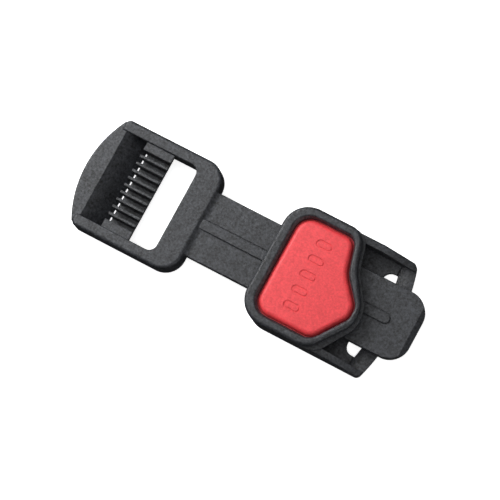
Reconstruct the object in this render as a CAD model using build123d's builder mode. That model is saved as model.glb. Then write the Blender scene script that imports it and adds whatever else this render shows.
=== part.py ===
from build123d import *
import os
from collections import namedtuple
from math import cos, hypot, radians, sin

os.makedirs("parts", exist_ok=True)

# The buckle lies on its underside. +X runs from the adjuster frame to the tongue's tip, +Z is up,
# and the origin is under the middle of the whole length. All sizes are in millimetres.

# Webbing and clearances
webbing_width = 25.0
webbing_play = 0.95        # each side of the webbing in the frame's slot
webbing_end_play = 0.2     # each side of the webbing in the housing's slot
slide_clearance = 0.25     # round the blade and the button
seam_gap = 0.1             # between pieces that are fixed to each other

# Overall
overall_length = 103.9

# Blade: neck, guided stretch and tip
blade_width = 19.8
blade_thickness = 2.8
tip_radius = 6.0
tip_bevel_length = 1.35
tip_bevel_depth = 1.7
blade_edge_radius = 0.3
rib_width = 2.8
rib_height = 0.4
rib_edge_radius = 0.15
rib_end_to_tip = 8.05
groove_width = 0.3         # fine groove round the rib
groove_depth = 0.25
neck_corner_radius = 0.6
blend_angle = 45.0         # slope at which the blend leaves the cross bar's rounding

# Adjuster frame
frame_rise = 1.0            # rails' tops above the blade
rail_width = 3.35
cross_bar_length = 7.75
slot_length = 7.95
frame_corner_radius = 6.0
slot_corner_radius = 2.4
frame_edge_step = 0.05     # blade's top below the rounding of the rails' tops
frame_base_radius = 0.6
opening_edge_radius = 0.3
rail_end_radius = 1.7

# Lip and the ramp under it
lip_depth = 5.7
lip_radius = 32.7
lip_inset = 1.0            # lip's ends inside the rails' outer faces
lip_drop = 0.6             # lip's top below the rails' tops
lip_thickness = 2.3
lip_edge_radius = 0.6
rail_end_overhang = 1.4    # rails past the lip's inner edge
ramp_length = 6.45
ramp_foot_height = 0.3
ramp_thickness = 2.35

# Comb bar
throat_gap = 0.8           # comb's root from the ramp's foot
comb_length = 8.7
comb_drop = 0.7            # tops of fins and end pads below the rails' tops
comb_undercut = 1.1        # bar's foot back from its edge over the slot
comb_face_height = 0.8     # upright face over the undercut
root_bottom = 0.5
root_top = 1.7
root_sink = 0.3            # fins into the root
fin_overhang = 0.5         # fins past the root, over the ramp's foot
fin_nose_height = 2.4
fin_count = 9
fin_pitch = 2.28
fin_thickness = 0.85
fin_edge_radius = 0.2

# Housing
housing_to_tip = 45.95     # left edge of the rim from the tongue's tip
housing_length = 37.0      # to the housing's right corners
floor_thickness = 1.5
runner_height = 1.65
runner_width = 4.5
runner_inset = 0.5         # runners' outer faces inside the blade's edges
runner_setback = 2.0       # runners' ends from the floor's edges
wall_thickness = 2.05
wall_inset = 0.15          # walls' outer faces inside the rim
wall_height = 8.6
wall_end_height = 2.8
wall_slope_length = 10.4
wall_slope_overrun = 1.2   # slope's low end past the housing's right corners
wall_edge_radius = 0.6
base_edge_radius = 0.5
base_corner_radius = 7.2
end_corner_radius = 1.6
crossbar_bulge = 2.8       # arched end past the housing's right corners
crossbar_width = 4.9
crossbar_height = 1.9
crossbar_crease_inset = 0.75
crossbar_slope_length = 3.15
crossbar_slope_drop = 1.0
webbing_slot_length = 4.9
webbing_slot_radius = 2.6
mouth_length = 5.2         # narrow stretch of the channel at the left end
guide_length = 3.0
guide_offset = 18.5        # right guides from the housing's left edge
guide_rise = 0.1           # guides above the blade

# Button pad, rim and cover
pad_start = 3.85           # pad's left edge from the rim's left edge
pad_length = 24.5
pad_half_width = 14.6
pad_thickness = 3.3
pad_edge_radius = 1.5
pad_recess = 0.35          # pad's top below the rim's crest
pad_crown_radius = 260.0
rim_width = 3.2
rim_outer_radius = 1.0
rim_inner_radius = 0.6
rim_slope_share = 0.3     # of the way from the pad's outline to the rim's, taken by the inner slope
rim_slope_depth = 1.0
rim_height = 2.5           # from the flange's top to the crest
flange_thickness = 0.8
flange_reach = 1.0
skirt_clearance = 0.3      # cover's skirt above the blade's rib
skirt_inset = 1.0          # skirt's ends inside the pad's long edges
collar_height = 1.0        # button's collar under the bead
collar_reach = 0.8
well_clearance = 0.4       # between the pad and the bead

# Grip marks on the pad
grip_count = 5
grip_pitch = 4.7
grip_length = 4.9
grip_width = 2.3
grip_line = 0.45
grip_depth = 0.2
grip_offset = 9.4          # marks' middle from the pad's left edge

# Button's legs and the latch under the blade
press_travel = 1.1
leg_length = 5.0
leg_thickness = 2.0
leg_clearance = 0.4        # legs beside the blade
leg_offset = 9.6           # legs' left faces from the housing's left edge
leg_socket_depth = 0.5
latch_thickness = 1.0
latch_margin = 0.6         # latch past the legs
tooth_length = 2.0
tooth_width = 12.0
tooth_height = 1.1
notch_clearance = 0.3
latch_gap = 0.3            # latch under the blade
latch_pocket_clearance = 0.4
pocket_spare_depth = 0.35  # pocket below the pressed latch

# Places along X
frame_start = -overall_length / 2
tip_end = overall_length / 2
ramp_start = frame_start + lip_depth
ramp_foot = ramp_start + ramp_length
root_start = ramp_foot + throat_gap
comb_start = root_start - fin_overhang
comb_end = comb_start + comb_length
slot_end = comb_end + slot_length
bar_end = slot_end + cross_bar_length
rail_start = ramp_start - rail_end_overhang
rib_end = tip_end - rib_end_to_tip
groove_outer = rib_width / 2 + groove_width
housing_start = tip_end - housing_to_tip
housing_end = housing_start + housing_length
pad_left = housing_start + pad_start
leg_middle = housing_start + leg_offset + leg_length / 2

# Heights
blade_bottom = floor_thickness + runner_height + slide_clearance
blade_top = blade_bottom + blade_thickness
frame_height = blade_top + frame_rise
frame_edge_radius = frame_rise - frame_edge_step
lip_top = frame_height - lip_drop
comb_top = frame_height - comb_drop
guide_top = blade_top + guide_rise
cover_seat = wall_height + seam_gap
flange_top = cover_seat + flange_thickness
crest = flange_top + rim_height
skirt_bottom = blade_top + rib_height + skirt_clearance
pad_top = crest - pad_recess
pad_bottom = pad_top - pad_thickness
collar_top = pad_bottom + collar_height
latch_top = blade_bottom - latch_gap
latch_bottom = latch_top - latch_thickness
pocket_floor = latch_bottom - press_travel - pocket_spare_depth

# Widths across Y
webbing_slot_width = webbing_width + 2 * webbing_play
frame_width = webbing_slot_width + 2 * rail_width
comb_gap = (fin_count + 1) * fin_pitch - fin_thickness
rim_half_width = pad_half_width + rim_width
base_half_width = rim_half_width - wall_inset
channel_half_width = base_half_width - wall_thickness
mouth_half_width = blade_width / 2 + slide_clearance
crossbar_slot_half_width = webbing_width / 2 + webbing_end_play
leg_inner = blade_width / 2 + leg_clearance
latch_length = leg_length + 2 * latch_margin
latch_width = 2 * (leg_inner + leg_thickness + latch_margin)

# Corners of the button pad's outline, clockwise from the left end of its top edge. along is a share of
# pad_length, across and radius are shares of pad_half_width. rim_along and rim_across move the corner to
# the rim's outline, as shares of rim_width, and rim_radius is a share of rim_half_width. flange moves the
# rim's corner along X to the flange's outline, as a share of flange_reach.
Corner = namedtuple("Corner", "along across radius rim_along rim_across rim_radius flange")
corners = [
    Corner(0.000, 1.000, 0.308, -1.203, 1.00, 0.424, 0.0),
    Corner(0.645, 1.000, 0.205, 0.484, 1.00, 0.282, 0.9),
    Corner(0.757, 0.360, 0.616, 0.610, 0.73, 0.790, 0.6),
    Corner(1.000, -0.116, 0.240, 0.625, 0.20, 0.440, 0.8),
    Corner(1.000, -0.349, 0.240, 0.625, -0.45, 0.440, 1.0),
    Corner(0.733, -1.000, 0.274, 0.100, -1.00, 0.367, 2.2),
    Corner(0.000, -1.000, 0.308, -1.203, -1.00, 0.424, 0.0),
]
pad_points = [(pad_left + c.along * pad_length, c.across * pad_half_width) for c in corners]
pad_radii = [c.radius * pad_half_width for c in corners]
rim_points = [
    (x + c.rim_along * rim_width, y + c.rim_across * rim_width)
    for (x, y), c in zip(pad_points, corners)
]
rim_radii = [c.rim_radius * rim_half_width for c in corners]
crest_points = [
    (x + rim_slope_share * (rim_x - x), y + rim_slope_share * (rim_y - y))
    for (x, y), (rim_x, rim_y) in zip(pad_points, rim_points)
]
crest_radii = [r + rim_slope_share * (rim_r - r) for r, rim_r in zip(pad_radii, rim_radii)]
flange_points = [(x + c.flange * flange_reach, y) for (x, y), c in zip(rim_points, corners)]


def outline(points, radii, grow=0.0):
    """Adds a closed, rounded outline to the current sketch, grown by an amount all round."""
    with BuildLine() as rounded:
        FilletPolyline(*points, radius=radii, close=True)
    face = make_face(rounded.edges())
    if grow:
        offset(face, amount=grow, mode=Mode.REPLACE)


def section(*points):
    """Adds a polygon to the current sketch."""
    with BuildLine() as sides:
        Polyline(*points, close=True)
    make_face(sides.edges())


def slab(x_start, x_end, y_start, y_end):
    """Adds a rectangle to the current sketch between two places along X and two along Y."""
    with Locations(((x_start + x_end) / 2, (y_start + y_end) / 2)):
        Rectangle(x_end - x_start, y_end - y_start)


# Tongue: adjuster frame, lip, comb bar, neck and blade in one moulding
ramp_drop = lip_top - ramp_foot_height
ramp_slope = hypot(ramp_length, ramp_drop)
ramp_rise_rate = ramp_drop / ramp_length
ramp_under = ramp_foot + ramp_foot_height / ramp_rise_rate - ramp_thickness * ramp_slope / ramp_drop
lip_under = ramp_under - (lip_top - lip_thickness) / ramp_rise_rate
blade_start = bar_end - frame_edge_radius
blend_fall = 1 - cos(radians(blend_angle))
blend_run = sin(radians(blend_angle))
blend_radius = frame_rise / blend_fall - frame_edge_radius
blend_top = frame_height - frame_edge_radius * blend_fall
blend_start = bar_end - frame_edge_radius * (1 - blend_run)
blend_end = blend_start + blend_radius * blend_run
pad_outer = webbing_slot_width / 2 + rail_width / 2

with BuildPart() as tongue:
    # Rails and cross bar round the webbing's opening
    with BuildSketch():
        slab(rail_start, bar_end, -frame_width / 2, frame_width / 2)
        fillet(vertices().group_by(Axis.X)[-1], radius=frame_corner_radius)
        fillet(vertices().group_by(Axis.X)[0], radius=rail_end_radius)
    extrude(amount=frame_height)
    fillet(faces().sort_by(Axis.Z)[-1].edges(), radius=frame_edge_radius)
    fillet(faces().sort_by(Axis.Z)[0].edges(), radius=frame_base_radius)
    with BuildSketch():
        slab(rail_start - lip_depth, slot_end, -webbing_slot_width / 2, webbing_slot_width / 2)
        fillet(vertices().group_by(Axis.X)[-1], radius=slot_corner_radius)
    extrude(amount=frame_height, mode=Mode.SUBTRACT)
    top_face = faces().filter_by(Axis.Z).sort_by(Axis.Z)[-1]
    opening_edges = top_face.edges().filter_by(
        lambda edge: edge.center().X < slot_end + opening_edge_radius
        and abs(edge.center().Y) < webbing_slot_width / 2 + opening_edge_radius
        and edge.center().X > rail_start + rail_end_radius
    )
    fillet(opening_edges, radius=opening_edge_radius)

    # Lip and the ramp that falls from it, trimmed to the round outline
    with BuildSketch(Plane.XZ):
        section(
            (frame_start, lip_top),
            (ramp_start, lip_top),
            (ramp_foot, ramp_foot_height),
            (ramp_foot, 0),
            (ramp_under, 0),
            (lip_under, lip_top - lip_thickness),
            (frame_start, lip_top - lip_thickness),
        )
    extrude(amount=frame_width / 2 - lip_inset, both=True)
    with BuildSketch():
        slab(frame_start, rail_start, -frame_width / 2, frame_width / 2)
        with Locations((frame_start + lip_radius, 0)):
            Circle(lip_radius, mode=Mode.SUBTRACT)
    extrude(amount=frame_height, mode=Mode.SUBTRACT)
    lip_rim = edges().filter_by(GeomType.CIRCLE).filter_by(
        lambda edge: edge.radius > lip_radius - lip_edge_radius
    )
    fillet(lip_rim, radius=lip_edge_radius)

    # Root of the comb bar, its end pads and the fins between them
    with BuildSketch(Plane.XZ):
        section(
            (root_start, root_bottom),
            (comb_end, root_bottom),
            (comb_end, root_top),
            (root_start, root_top),
        )
    extrude(amount=pad_outer, both=True)
    with BuildSketch(Plane.XY.offset(root_bottom)):
        slab(comb_start, comb_end, comb_gap / 2, pad_outer)
        slab(comb_start, comb_end, -pad_outer, -comb_gap / 2)
    extrude(amount=comb_top - root_bottom)
    for row in range(fin_count):
        fin_place = (row - (fin_count - 1) / 2) * fin_pitch
        with BuildSketch(Plane.XZ.offset(fin_place)):
            section(
                (comb_start, comb_top - fin_nose_height),
                (root_start + root_sink, root_top - root_sink),
                (comb_end, root_top - root_sink),
                (comb_end, comb_top),
                (comb_start, comb_top),
            )
        extrude(amount=fin_thickness / 2, both=True)
    fin_edges = edges().filter_by(Axis.X).filter_by(
        lambda edge: edge.center().Z > comb_top - fin_edge_radius
        and abs(edge.center().Y) < comb_gap / 2 - fin_edge_radius
    )
    fillet(fin_edges, radius=fin_edge_radius)
    with BuildSketch(Plane.XZ):
        section(
            (comb_end - comb_undercut, root_bottom),
            (comb_end, comb_top - comb_face_height),
            (comb_end, root_bottom),
        )
    extrude(amount=webbing_slot_width / 2, both=True, mode=Mode.SUBTRACT)

    # Blade with its bevelled tip, the blend from the cross bar and the rib in its groove
    with BuildSketch(Plane.XY.offset(blade_bottom)):
        slab(blade_start, tip_end, -blade_width / 2, blade_width / 2)
        fillet(vertices().group_by(Axis.X)[-1], radius=tip_radius)
    extrude(amount=blade_thickness)
    blade_edges = edges().filter_by(Axis.Z, reverse=True).filter_by(
        lambda edge: edge.center().X > bar_end + blade_edge_radius
        and abs(edge.center().Z - blade_top) < blade_edge_radius
    )
    fillet(blade_edges, radius=blade_edge_radius)
    neck_corners = edges().filter_by(Axis.Z).filter_by(
        lambda edge: abs(edge.center().X - bar_end) < blade_edge_radius
        and abs(edge.center().Y) < blade_width / 2 + blade_edge_radius
    )
    fillet(neck_corners, radius=neck_corner_radius)
    with BuildSketch(Plane.XZ):
        section(
            (tip_end - tip_bevel_length, blade_top),
            (tip_end, blade_top - tip_bevel_depth),
            (tip_end, blade_top),
        )
    extrude(amount=blade_width / 2, both=True, mode=Mode.SUBTRACT)
    with BuildSketch(Plane.XY.offset(blade_top - groove_depth)):
        slab(blend_end + groove_width, rib_end - rib_width / 2, -groove_outer, groove_outer)
        with Locations((rib_end - rib_width / 2, 0)):
            Circle(groove_outer)
    extrude(amount=groove_depth, mode=Mode.SUBTRACT)
    with BuildSketch(Plane.XZ):
        with BuildLine() as blend_line:
            Polyline(
                (blend_end, blade_top),
                (blend_end, blade_top - blade_edge_radius),
                (blade_start, blade_top - blade_edge_radius),
                (blend_start, blend_top),
            )
            RadiusArc((blend_start, blend_top), (blend_end, blade_top), -blend_radius)
        make_face()
    extrude(amount=blade_width / 2 - blade_edge_radius, both=True)
    with BuildSketch(Plane.XY.offset(blade_top - groove_depth)):
        slab(blade_start, rib_end - rib_width / 2, -rib_width / 2, rib_width / 2)
        with Locations((rib_end - rib_width / 2, 0)):
            Circle(rib_width / 2)
    extrude(amount=groove_depth + rib_height)
    rib_top = faces().filter_by(Axis.Z).filter_by(
        lambda face: abs(face.center().Z - blade_top - rib_height) < rib_edge_radius
    )
    fillet(rib_top.edges().filter_by(Axis.Y, reverse=True), radius=rib_edge_radius)
    with BuildSketch(Plane.XY.offset(blade_bottom)):
        with Locations((leg_middle, 0)):
            Rectangle(tooth_length + 2 * notch_clearance, tooth_width + 2 * notch_clearance)
    extrude(amount=tooth_height - latch_gap + notch_clearance, mode=Mode.SUBTRACT)

export_step(tongue.part, "parts/tongue.step")

# Housing base: floor, side walls, runners and guides, webbing slot and arched crossbar
base_left = housing_start + wall_inset
crown = housing_end + crossbar_bulge
crease = housing_end - crossbar_crease_inset
slope_start = crease - crossbar_slope_length
slope_low = crossbar_height - crossbar_slope_drop
slot_right = crown - crossbar_width
slot_left = slot_right - webbing_slot_length
wall_flat_end = housing_end + wall_slope_overrun - wall_slope_length
mouth_end = housing_start + mouth_length
guide_start = housing_start + guide_offset
runner_outer = blade_width / 2 - runner_inset
arch_fall = crossbar_bulge * (crossbar_slot_half_width / base_half_width) ** 2

with BuildPart() as housing_base:
    with BuildSketch():
        with BuildLine():
            Polyline(
                (housing_end, base_half_width),
                (base_left, base_half_width),
                (base_left, -base_half_width),
                (housing_end, -base_half_width),
            )
            ThreePointArc((housing_end, -base_half_width), (crown, 0), (housing_end, base_half_width))
        make_face()
        fillet(vertices().group_by(Axis.X)[0], radius=base_corner_radius)
        fillet(vertices().group_by(Axis.X)[-1], radius=end_corner_radius)
    extrude(amount=wall_height)
    with BuildSketch(Plane.XZ):
        section(
            (wall_flat_end, wall_height),
            (wall_flat_end + wall_slope_length, wall_end_height),
            (tip_end, wall_end_height),
            (tip_end, wall_height),
        )
    extrude(amount=base_half_width, both=True, mode=Mode.SUBTRACT)
    wall_edges = edges().filter_by(Axis.Y, reverse=True).filter_by(Axis.Z, reverse=True).filter_by(
        lambda edge: edge.center().Z > wall_end_height + wall_edge_radius
    )
    fillet(wall_edges, radius=wall_edge_radius)
    fillet(faces().sort_by(Axis.Z)[0].edges(), radius=base_edge_radius)

    # Channel between the walls, and the crossbar's slope
    with BuildSketch(Plane.XZ):
        section(
            (mouth_end, floor_thickness),
            (slope_start, floor_thickness),
            (slope_start, slope_low),
            (crease, crossbar_height),
            (tip_end, crossbar_height),
            (tip_end, crest),
            (mouth_end, crest),
        )
    extrude(amount=channel_half_width, both=True, mode=Mode.SUBTRACT)
    with BuildSketch(Plane.XY.offset(floor_thickness)):
        slab(base_left, mouth_end, -mouth_half_width, mouth_half_width)
    extrude(amount=wall_height, mode=Mode.SUBTRACT)
    with BuildSketch(Plane.XY.offset(guide_top)):
        slab(base_left, mouth_end, -channel_half_width, channel_half_width)
    extrude(amount=wall_height, mode=Mode.SUBTRACT)

    # Webbing slot in front of the crossbar
    with BuildSketch():
        with BuildLine():
            Polyline(
                (slot_right - arch_fall, crossbar_slot_half_width),
                (slot_left, crossbar_slot_half_width),
                (slot_left, -crossbar_slot_half_width),
                (slot_right - arch_fall, -crossbar_slot_half_width),
            )
            ThreePointArc(
                (slot_right - arch_fall, -crossbar_slot_half_width),
                (slot_right, 0),
                (slot_right - arch_fall, crossbar_slot_half_width),
            )
        make_face()
        fillet(vertices().group_by(Axis.X)[0], radius=webbing_slot_radius)
    extrude(amount=floor_thickness, mode=Mode.SUBTRACT)

    # Runners under the blade, guides beside it and the pocket that takes the latch
    with BuildSketch(Plane.XY.offset(floor_thickness)):
        for side in (-1, 1):
            with Locations(((base_left + slot_left) / 2, side * (runner_outer - runner_width / 2))):
                Rectangle(slot_left - base_left - 2 * runner_setback, runner_width)
    extrude(amount=runner_height)
    with BuildSketch(Plane.XY.offset(floor_thickness)):
        slab(guide_start, guide_start + guide_length, mouth_half_width, channel_half_width)
        slab(guide_start, guide_start + guide_length, -channel_half_width, -mouth_half_width)
    extrude(amount=guide_top - floor_thickness)
    with BuildSketch(Plane.XY.offset(pocket_floor)):
        with Locations((leg_middle, 0)):
            Rectangle(
                latch_length + 2 * latch_pocket_clearance,
                latch_width + 2 * latch_pocket_clearance,
            )
    extrude(amount=blade_bottom - pocket_floor, mode=Mode.SUBTRACT)

export_step(housing_base.part, "parts/housing_base.step")

# Housing cover: flange, raised bead round the button's well and a skirt over the blade
with BuildPart() as housing_cover:
    with BuildSketch(Plane.XY.offset(cover_seat)):
        outline(rim_points, rim_radii)
        outline(flange_points, rim_radii)
    extrude(amount=flange_thickness)
    with BuildSketch(Plane.XY.offset(flange_top)):
        outline(rim_points, rim_radii)
    extrude(amount=rim_height)
    fillet(faces().sort_by(Axis.Z)[-1].edges(), radius=rim_outer_radius)
    with BuildSketch(Plane.XY.offset(crest - rim_slope_depth)):
        outline(pad_points, pad_radii, well_clearance)
    with BuildSketch(Plane.XY.offset(crest)):
        outline(crest_points, crest_radii)
    loft(mode=Mode.SUBTRACT)
    with BuildSketch(Plane.XY.offset(skirt_bottom)):
        outline(rim_points, rim_radii)
        with Locations(((housing_start + crown) / 2, 0)):
            Rectangle(crown - housing_start, 2 * (pad_half_width - skirt_inset), mode=Mode.INTERSECT)
    extrude(amount=cover_seat - skirt_bottom)
    with BuildSketch(Plane.XY.offset(skirt_bottom)):
        outline(pad_points, pad_radii, collar_reach + slide_clearance)
    extrude(amount=collar_top + seam_gap - skirt_bottom, mode=Mode.SUBTRACT)
    with BuildSketch(Plane.XY.offset(collar_top)):
        outline(pad_points, pad_radii, well_clearance)
    extrude(amount=crest - rim_slope_depth - collar_top, mode=Mode.SUBTRACT)
    fillet(faces().sort_by(Axis.Z)[-1].inner_wires()[0].edges(), radius=rim_inner_radius)

export_step(housing_cover.part, "parts/housing_cover.step")

# Press button: crowned pad with grip marks, a collar that stays under the bead, and two legs
crown_centre = (pad_left + pad_length / 2, 0, pad_top - pad_crown_radius)
leg_foot = latch_top - leg_socket_depth + seam_gap

with BuildPart() as grip_marks:
    with BuildSketch(Plane.XY.offset(pad_bottom)):
        with Locations((pad_left + grip_offset, 0)):
            with GridLocations(grip_length, grip_pitch, 1, grip_count):
                SlotOverall(grip_length, grip_width)
                SlotOverall(
                    grip_length - 2 * grip_line,
                    grip_width - 2 * grip_line,
                    mode=Mode.SUBTRACT,
                )
    extrude(amount=pad_thickness)
    with Locations(crown_centre):
        Sphere(pad_crown_radius - grip_depth, rotation=(90, 0, 0), mode=Mode.SUBTRACT)

with BuildPart() as press_button:
    with BuildSketch(Plane.XY.offset(pad_bottom)):
        outline(pad_points, pad_radii)
    extrude(amount=pad_thickness)
    with Locations(crown_centre):
        Sphere(pad_crown_radius, rotation=(90, 0, 0), mode=Mode.INTERSECT)
    fillet(faces().sort_by(Axis.Z)[-1].edges(), radius=pad_edge_radius)
    add(grip_marks.part, mode=Mode.SUBTRACT)
    with BuildSketch(Plane.XY.offset(pad_bottom)):
        outline(pad_points, pad_radii, collar_reach)
    extrude(amount=collar_height)
    with BuildSketch(Plane.XY.offset(leg_foot)):
        with Locations((leg_middle, 0)):
            with GridLocations(leg_length, 2 * leg_inner + leg_thickness, 1, 2):
                Rectangle(leg_length, leg_thickness)
    extrude(amount=pad_bottom - leg_foot)

export_step(press_button.part, "parts/press_button.step")

# Latch: plate under the blade with sockets for the button's legs, and the tooth that holds the tongue
with BuildPart() as latch:
    with BuildSketch(Plane.XY.offset(latch_bottom)):
        with Locations((leg_middle, 0)):
            Rectangle(latch_length, latch_width)
    extrude(amount=latch_thickness)
    with BuildSketch(Plane.XY.offset(latch_top)):
        with Locations((leg_middle, 0)):
            with GridLocations(leg_length, 2 * leg_inner + leg_thickness, 1, 2):
                Rectangle(leg_length + 2 * seam_gap, leg_thickness + 2 * seam_gap)
    extrude(amount=-leg_socket_depth, mode=Mode.SUBTRACT)
    with BuildSketch(Plane.XY.offset(latch_top)):
        with Locations((leg_middle, 0)):
            Rectangle(tooth_length, tooth_width)
    extrude(amount=tooth_height)

export_step(latch.part, "parts/latch.step")
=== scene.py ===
from math import cos, radians, sin

import bmesh
import bpy
from bpy.props import FloatProperty, FloatVectorProperty, PointerProperty
from mathutils import Matrix, Vector


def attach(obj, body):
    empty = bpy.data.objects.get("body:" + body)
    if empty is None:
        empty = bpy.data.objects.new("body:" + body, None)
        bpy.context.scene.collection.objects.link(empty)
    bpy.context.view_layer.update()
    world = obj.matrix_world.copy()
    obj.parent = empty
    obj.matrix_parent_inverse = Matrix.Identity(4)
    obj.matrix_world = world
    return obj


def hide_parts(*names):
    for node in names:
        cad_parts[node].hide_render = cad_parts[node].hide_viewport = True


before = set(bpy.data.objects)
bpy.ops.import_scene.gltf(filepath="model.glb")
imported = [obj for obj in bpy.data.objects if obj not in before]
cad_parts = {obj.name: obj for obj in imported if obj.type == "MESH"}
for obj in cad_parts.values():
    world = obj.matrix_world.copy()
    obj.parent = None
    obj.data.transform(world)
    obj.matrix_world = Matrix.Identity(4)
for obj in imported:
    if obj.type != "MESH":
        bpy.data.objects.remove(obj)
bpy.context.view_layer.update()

bl_info = {
    "name": "Self-locking buckle",
    "version": (1, 0, 0),
    "blender": (4, 5, 0),
    "location": "3D View > Sidebar > Buckle",
    "description": "Finishes the pieces of a press-button webbing buckle and sets up its studio",
    "category": "Add Mesh",
}

MM = 0.001
WHITE = (1.0, 1.0, 1.0, 1.0)

# Points closer than this are merged, and faces that meet at less than this angle become one flat face
MERGE_DISTANCE = 0.001 * MM
FLAT_ANGLE = radians(0.6)

# The specks are this many times finer than the grain, and the scuffs have a scale of their own
SPECK_FINENESS = 1.7
SCUFF_SCALE = 420.0
SCUFF_SHARE = 0.3

# Nearly all of the mottle mask lies between these values, and the gloss follows it by this much
MOTTLE_LOW = 0.36
MOTTLE_HIGH = 0.64
GLOSS_SPREAD = 0.09

# Half the floor's side, and how far below the buckle's underside it lies
FLOOR_REACH = 2.0
FLOOR_DROP = 0.02 * MM

# Heights on the sky's sphere, of radius 1, between which the light from below turns into that from above
HORIZON_LOW = -0.1
HORIZON_HIGH = 0.25

# The camera's sensor in millimetres, and the nearest that it sees in metres
SENSOR_WIDTH = 36.0
NEAR_CLIP = 0.01


class BuckleSizes(bpy.types.PropertyGroup):
    """Sizes of the finish that is added to the moulded pieces."""

    edge_radius: FloatProperty(
        name="Edge radius", description="Rounding of the moulded edges that look sharp",
        default=0.14 * MM, min=0.0, unit="LENGTH", precision=5)
    crease_angle: FloatProperty(
        name="Crease angle", description="Faces that meet at more than this keep a hard edge",
        default=radians(32), subtype="ANGLE")
    grain_size: FloatProperty(
        name="Grain size", description="Width of one bump of the moulded grain",
        default=1.1 * MM, min=0.0, unit="LENGTH", precision=5)
    grain_depth: FloatProperty(
        name="Grain depth", description="Depth of the moulded grain where it is full",
        default=0.16 * MM, min=0.0, unit="LENGTH", precision=6)


class BuckleColours(bpy.types.PropertyGroup):
    """Colours of the plastics and the floor."""

    black: FloatVectorProperty(
        name="Black plastic", description="Colour of the tongue and the housing",
        default=(0.0245, 0.0265, 0.031), subtype="COLOR", min=0.0, max=1.0)
    red: FloatVectorProperty(
        name="Red plastic", description="Colour of the press button",
        default=(0.79, 0.053, 0.062), subtype="COLOR", min=0.0, max=1.0)
    grey: FloatVectorProperty(
        name="Grey plastic", description="Colour of the hidden latch",
        default=(0.2, 0.2, 0.21), subtype="COLOR", min=0.0, max=1.0)
    floor: FloatVectorProperty(
        name="Floor", description="Colour of the floor under the buckle",
        default=(0.93, 0.93, 0.93), subtype="COLOR", min=0.0, max=1.0)


class BuckleStudio(bpy.types.PropertyGroup):
    """Places and strengths of the camera and the lights."""

    target: FloatVectorProperty(
        name="Target", description="Point that the camera and the lamps look at",
        default=(0.42 * MM, -0.16 * MM, 5.0 * MM), subtype="XYZ", unit="LENGTH", precision=5)
    view_from: FloatVectorProperty(
        name="View from", description="Direction from the target to the camera",
        default=(0.20, -0.125, 1.0), subtype="XYZ")
    roll: FloatProperty(
        name="Roll", description="How far the buckle's length points below the picture's right",
        default=radians(27.3), subtype="ANGLE")
    distance: FloatProperty(
        name="Distance", description="From the target to the camera",
        default=0.7, unit="LENGTH")
    picture_width: FloatProperty(
        name="Picture width", description="Width at the target that the picture takes in",
        default=137.65 * MM, unit="LENGTH", precision=5)
    key_from: FloatVectorProperty(
        name="Key from", description="Direction from the target to the key lamp",
        default=(-0.74, 0.24, 0.64), subtype="XYZ")
    key_distance: FloatProperty(
        name="Key distance", description="From the target to the key lamp",
        default=0.45, unit="LENGTH")
    key_size: FloatProperty(
        name="Key size", description="Side of the square key lamp",
        default=0.30, unit="LENGTH")
    key_power: FloatProperty(
        name="Key power", description="Power of the soft key lamp on the left",
        default=2.35, min=0.0, unit="POWER")
    fill_from: FloatVectorProperty(
        name="Fill from", description="Direction to the fill lamp, as large and as far off as the key lamp",
        default=(0.90, -0.30, 0.26), subtype="XYZ")
    fill_power: FloatProperty(
        name="Fill power", description="Power of the low fill lamp on the right",
        default=0.48, min=0.0, unit="POWER")
    top_from: FloatVectorProperty(
        name="Top from", description="Direction to the lamp overhead, whose gloss shows on level faces",
        default=(-0.05, 0.06, 1.0), subtype="XYZ")
    top_distance: FloatProperty(
        name="Top distance", description="From the target to the lamp overhead",
        default=1.2, unit="LENGTH")
    top_size: FloatProperty(
        name="Top size", description="Side of the square lamp overhead",
        default=1.4, unit="LENGTH")
    top_power: FloatProperty(
        name="Top power", description="Power of the wide lamp overhead",
        default=5.35, min=0.0, unit="POWER")
    sky: FloatProperty(
        name="Sky", description="Strength of the even light from above",
        default=0.12, min=0.0)
    glow: FloatProperty(
        name="Glow", description="Light of the floor's own, as of a light table",
        default=0.82, min=0.0)
    ground: FloatProperty(
        name="Ground", description="Strength of the even light from below",
        default=0.03, min=0.0)


# Nodes


def noise(nodes, detail, roughness, distortion=0.0):
    """Noise texture of a given character, whose scale is left to the caller."""
    texture = nodes.new("ShaderNodeTexNoise")
    texture.inputs["Detail"].default_value = detail
    texture.inputs["Roughness"].default_value = roughness
    texture.inputs["Distortion"].default_value = distortion
    return texture


def value_range(nodes, low, high, to_low=0.0, to_high=1.0):
    """Node that turns the values from low to high into those from to_low to to_high."""
    change = nodes.new("ShaderNodeMapRange")
    change.inputs["From Min"].default_value = low
    change.inputs["From Max"].default_value = high
    change.inputs["To Min"].default_value = to_low
    change.inputs["To Max"].default_value = to_high
    return change


# Finishes


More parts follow.
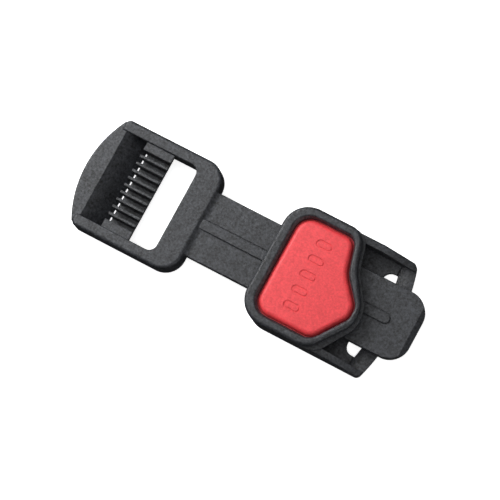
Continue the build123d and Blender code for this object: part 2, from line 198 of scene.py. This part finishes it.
def grain_group():
    """Node group for the fine grain that the mould leaves: a height and a mask over the surface."""
    name = "Moulded grain"
    if name in bpy.data.node_groups:
        return bpy.data.node_groups[name]
    group = bpy.data.node_groups.new(name, "ShaderNodeTree")
    group.interface.new_socket("Vector", in_out="INPUT", socket_type="NodeSocketVector")
    group.interface.new_socket("Scale", in_out="INPUT", socket_type="NodeSocketFloat")
    group.interface.new_socket("Height", in_out="OUTPUT", socket_type="NodeSocketFloat")
    group.interface.new_socket("Mottle", in_out="OUTPUT", socket_type="NodeSocketFloat")
    nodes, links = group.nodes, group.links
    inside = nodes.new("NodeGroupInput")
    out = nodes.new("NodeGroupOutput")
    fine = noise(nodes, detail=4.0, roughness=0.75)
    specks = noise(nodes, detail=3.0, roughness=0.7)
    scuffs = noise(nodes, detail=5.0, roughness=0.65, distortion=0.6)
    for texture in (fine, specks, scuffs):
        links.new(inside.outputs["Vector"], texture.inputs["Vector"])
    finer = nodes.new("ShaderNodeMath")
    finer.operation = "MULTIPLY"
    finer.inputs[1].default_value = SPECK_FINENESS
    links.new(inside.outputs["Scale"], finer.inputs[0])
    links.new(inside.outputs["Scale"], fine.inputs["Scale"])
    links.new(finer.outputs["Value"], specks.inputs["Scale"])
    scuffs.inputs["Scale"].default_value = SCUFF_SCALE
    blend = nodes.new("ShaderNodeMix")
    blend.inputs["Factor"].default_value = SCUFF_SHARE
    links.new(specks.outputs["Fac"], blend.inputs["A"])
    links.new(scuffs.outputs["Fac"], blend.inputs["B"])
    links.new(fine.outputs["Fac"], out.inputs["Height"])
    links.new(blend.outputs["Result"], out.inputs["Mottle"])
    return group


def plastic(name, colour, sizes, *, roughness, grain, mottle):
    """Moulded plastic with softened edges. Grain and mottle are shares of the full depth and colour."""
    material = bpy.data.materials.new(name)
    material.use_nodes = True
    nodes, links = material.node_tree.nodes, material.node_tree.links
    shader = nodes["Principled BSDF"]
    shader.inputs["IOR"].default_value = 1.5
    place = nodes.new("ShaderNodeTexCoord")
    effect = nodes.new("ShaderNodeGroup")
    effect.node_tree = grain_group()
    effect.inputs["Scale"].default_value = 1.0 / sizes.grain_size
    links.new(place.outputs["Object"], effect.inputs["Vector"])

    gloss = value_range(nodes, MOTTLE_LOW, MOTTLE_HIGH, roughness + GLOSS_SPREAD, roughness - GLOSS_SPREAD)
    links.new(effect.outputs["Mottle"], gloss.inputs["Value"])
    links.new(gloss.outputs["Result"], shader.inputs["Roughness"])

    shade = value_range(nodes, MOTTLE_LOW, MOTTLE_HIGH)
    links.new(effect.outputs["Mottle"], shade.inputs["Value"])
    tint = nodes.new("ShaderNodeMix")
    tint.data_type = "RGBA"
    tint.inputs["A"].default_value = (*[part * (1.0 - mottle) for part in colour], 1.0)
    tint.inputs["B"].default_value = (*[part * (1.0 + mottle) for part in colour], 1.0)
    links.new(shade.outputs["Result"], tint.inputs["Factor"])
    links.new(tint.outputs["Result"], shader.inputs["Base Color"])

    soft = nodes.new("ShaderNodeBevel")
    soft.samples = 4
    soft.inputs["Radius"].default_value = sizes.edge_radius
    bump = nodes.new("ShaderNodeBump")
    bump.inputs["Distance"].default_value = sizes.grain_depth * grain
    links.new(effect.outputs["Height"], bump.inputs["Height"])
    links.new(soft.outputs["Normal"], bump.inputs["Normal"])
    links.new(bump.outputs["Normal"], shader.inputs["Normal"])
    return material


# Pieces


def moulded_piece(node, body, material, sizes):
    """Put a merged copy of a CAD node, with smooth curves and hard creases, in place of the node."""
    name = f"{node}_moulding"
    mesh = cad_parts[node].data.copy()
    mesh.name = name
    shape = bmesh.new()
    shape.from_mesh(mesh)
    bmesh.ops.remove_doubles(shape, verts=shape.verts, dist=MERGE_DISTANCE)
    bmesh.ops.dissolve_limit(
        shape, angle_limit=FLAT_ANGLE, use_dissolve_boundaries=False,
        verts=shape.verts, edges=shape.edges, delimit=set())
    for face in shape.faces:
        face.smooth = True
    for edge in shape.edges:
        edge.smooth = len(edge.link_faces) == 2 and edge.calc_face_angle() < sizes.crease_angle
    shape.to_mesh(mesh)
    shape.free()
    mesh.materials.clear()
    mesh.materials.append(material)
    piece = bpy.data.objects.new(name, mesh)
    bpy.context.scene.collection.objects.link(piece)
    even = piece.modifiers.new("Even normals", "WEIGHTED_NORMAL")
    even.keep_sharp = True
    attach(piece, body)
    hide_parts(node)


class BUCKLE_OT_tongue(bpy.types.Operator):
    """Finish the adjuster frame with its tongue"""

    bl_idname = "buckle.tongue"
    bl_label = "Tongue"

    def execute(self, context):
        sizes, colours = context.scene.buckle_sizes, context.scene.buckle_colours
        black = plastic("Black plastic", colours.black, sizes, roughness=0.47, grain=1.0, mottle=1.0)
        moulded_piece("tongue", "buckle", black, sizes)
        return {"FINISHED"}


class BUCKLE_OT_housing(bpy.types.Operator):
    """Finish the housing's base and its cover in the tongue's plastic"""

    bl_idname = "buckle.housing"
    bl_label = "Housing"

    def execute(self, context):
        black = bpy.data.materials["Black plastic"]
        for node in ("housing_base", "housing_cover"):
            moulded_piece(node, "buckle", black, context.scene.buckle_sizes)
        return {"FINISHED"}


class BUCKLE_OT_button(bpy.types.Operator):
    """Finish the red press button and the latch that it carries"""

    bl_idname = "buckle.button"
    bl_label = "Press button"

    def execute(self, context):
        sizes, colours = context.scene.buckle_sizes, context.scene.buckle_colours
        red = plastic("Red plastic", colours.red, sizes, roughness=0.52, grain=0.6, mottle=0.15)
        moulded_piece("press_button", "button", red, sizes)
        grey = plastic("Grey plastic", colours.grey, sizes, roughness=0.5, grain=0.5, mottle=0.1)
        moulded_piece("latch", "button", grey, sizes)
        return {"FINISHED"}


# Stage


def paper(colour, glow):
    """Matte paper that gives light of its own, as on a light table."""
    material = bpy.data.materials.new("Floor paper")
    material.use_nodes = True
    shader = material.node_tree.nodes["Principled BSDF"]
    shader.inputs["Base Color"].default_value = (*colour, 1.0)
    shader.inputs["Roughness"].default_value = 0.9
    shader.inputs["Specular IOR Level"].default_value = 0.0
    shader.inputs["Emission Color"].default_value = WHITE
    shader.inputs["Emission Strength"].default_value = glow
    return material


def pale_floor(material):
    """Wide floor just under the buckle, whose glow reaches the camera but doesn't light the pieces."""
    shape = bmesh.new()
    bmesh.ops.create_grid(shape, x_segments=1, y_segments=1, size=FLOOR_REACH)
    bmesh.ops.translate(shape, verts=shape.verts, vec=(0.0, 0.0, -FLOOR_DROP))
    mesh = bpy.data.meshes.new("floor")
    shape.to_mesh(mesh)
    shape.free()
    mesh.materials.append(material)
    floor = bpy.data.objects.new("floor", mesh)
    bpy.context.scene.collection.objects.link(floor)
    floor.visible_diffuse = False
    floor.visible_glossy = False


def studio_sky(sky, ground):
    """World whose light has one strength above the horizon and a dimmer one below it."""
    world = bpy.data.worlds.new("Studio")
    world.use_nodes = True
    nodes, links = world.node_tree.nodes, world.node_tree.links
    place = nodes.new("ShaderNodeTexCoord")
    parts = nodes.new("ShaderNodeSeparateXYZ")
    links.new(place.outputs["Generated"], parts.inputs["Vector"])
    strength = value_range(nodes, HORIZON_LOW, HORIZON_HIGH, ground, sky)
    strength.interpolation_type = "SMOOTHSTEP"
    links.new(parts.outputs["Z"], strength.inputs["Value"])
    links.new(strength.outputs["Result"], nodes["Background"].inputs["Strength"])
    nodes["Background"].inputs["Color"].default_value = WHITE
    return world


def square_lamp(name, target, direction, distance, size, power):
    """Square area lamp that stands off from the target in a direction and points at it."""
    lamp = bpy.data.lights.new(name, "AREA")
    lamp.size = size
    lamp.energy = power
    stand = bpy.data.objects.new(name, lamp)
    bpy.context.scene.collection.objects.link(stand)
    away = Vector(direction).normalized()
    stand.location = target + away * distance
    stand.rotation_euler = away.to_track_quat("Z", "Y").to_euler()


def photo_camera(studio):
    """Camera at the photo's viewing angle, rolled so that the buckle slants as it does there."""
    lens = bpy.data.cameras.new("camera")
    lens.sensor_width = SENSOR_WIDTH
    lens.lens = SENSOR_WIDTH * studio.distance / studio.picture_width
    lens.clip_start = NEAR_CLIP
    camera = bpy.data.objects.new("camera", lens)
    bpy.context.scene.collection.objects.link(camera)
    back = Vector(studio.view_from).normalized()
    length = Vector((1.0, 0.0, 0.0))
    along = (length - back * length.dot(back)).normalized()
    across = back.cross(along)
    right = along * cos(studio.roll) + across * sin(studio.roll)
    up = back.cross(right)
    turn = Matrix((right, up, back)).transposed()
    place = Vector(studio.target) + back * studio.distance
    camera.matrix_world = Matrix.Translation(place) @ turn.to_4x4()
    return camera


class BUCKLE_OT_stage(bpy.types.Operator):
    """Set up the floor, the soft studio light and the camera"""

    bl_idname = "buckle.stage"
    bl_label = "Stage"

    def execute(self, context):
        scene = context.scene
        studio = scene.buckle_studio
        target = Vector(studio.target)
        key_distance, key_size = studio.key_distance, studio.key_size
        pale_floor(paper(scene.buckle_colours.floor, studio.glow))
        scene.world = studio_sky(studio.sky, studio.ground)
        square_lamp("key", target, studio.key_from, key_distance, key_size, studio.key_power)
        square_lamp("fill", target, studio.fill_from, key_distance, key_size, studio.fill_power)
        square_lamp("top", target, studio.top_from, studio.top_distance, studio.top_size, studio.top_power)
        scene.camera = photo_camera(studio)
        scene.view_settings.view_transform = "Standard"
        return {"FINISHED"}


# Add-on


class BUCKLE_PT_pieces(bpy.types.Panel):
    """Buttons for the buckle's pieces and stage."""

    bl_label = "Buckle"
    bl_idname = "BUCKLE_PT_pieces"
    bl_space_type = "VIEW_3D"
    bl_region_type = "UI"
    bl_category = "Buckle"

    def draw(self, context):
        layout, scene = self.layout, context.scene
        for settings in (scene.buckle_sizes, scene.buckle_colours, scene.buckle_studio):
            box = layout.box()
            for name in settings.__annotations__:
                box.prop(settings, name)
        for operator in OPERATORS:
            layout.operator(operator.bl_idname)


OPERATORS = (BUCKLE_OT_tongue, BUCKLE_OT_housing, BUCKLE_OT_button, BUCKLE_OT_stage)
CLASSES = (BuckleSizes, BuckleColours, BuckleStudio, *OPERATORS, BUCKLE_PT_pieces)


def register():
    for each in CLASSES:
        bpy.utils.register_class(each)
    bpy.types.Scene.buckle_sizes = PointerProperty(type=BuckleSizes)
    bpy.types.Scene.buckle_colours = PointerProperty(type=BuckleColours)
    bpy.types.Scene.buckle_studio = PointerProperty(type=BuckleStudio)


def unregister():
    del bpy.types.Scene.buckle_studio
    del bpy.types.Scene.buckle_colours
    del bpy.types.Scene.buckle_sizes
    for each in reversed(CLASSES):
        bpy.utils.unregister_class(each)


def main():
    register()
    bpy.ops.buckle.tongue()
    bpy.ops.buckle.housing()
    bpy.ops.buckle.button()
    bpy.ops.buckle.stage()


if __name__ == "__main__":
    main()
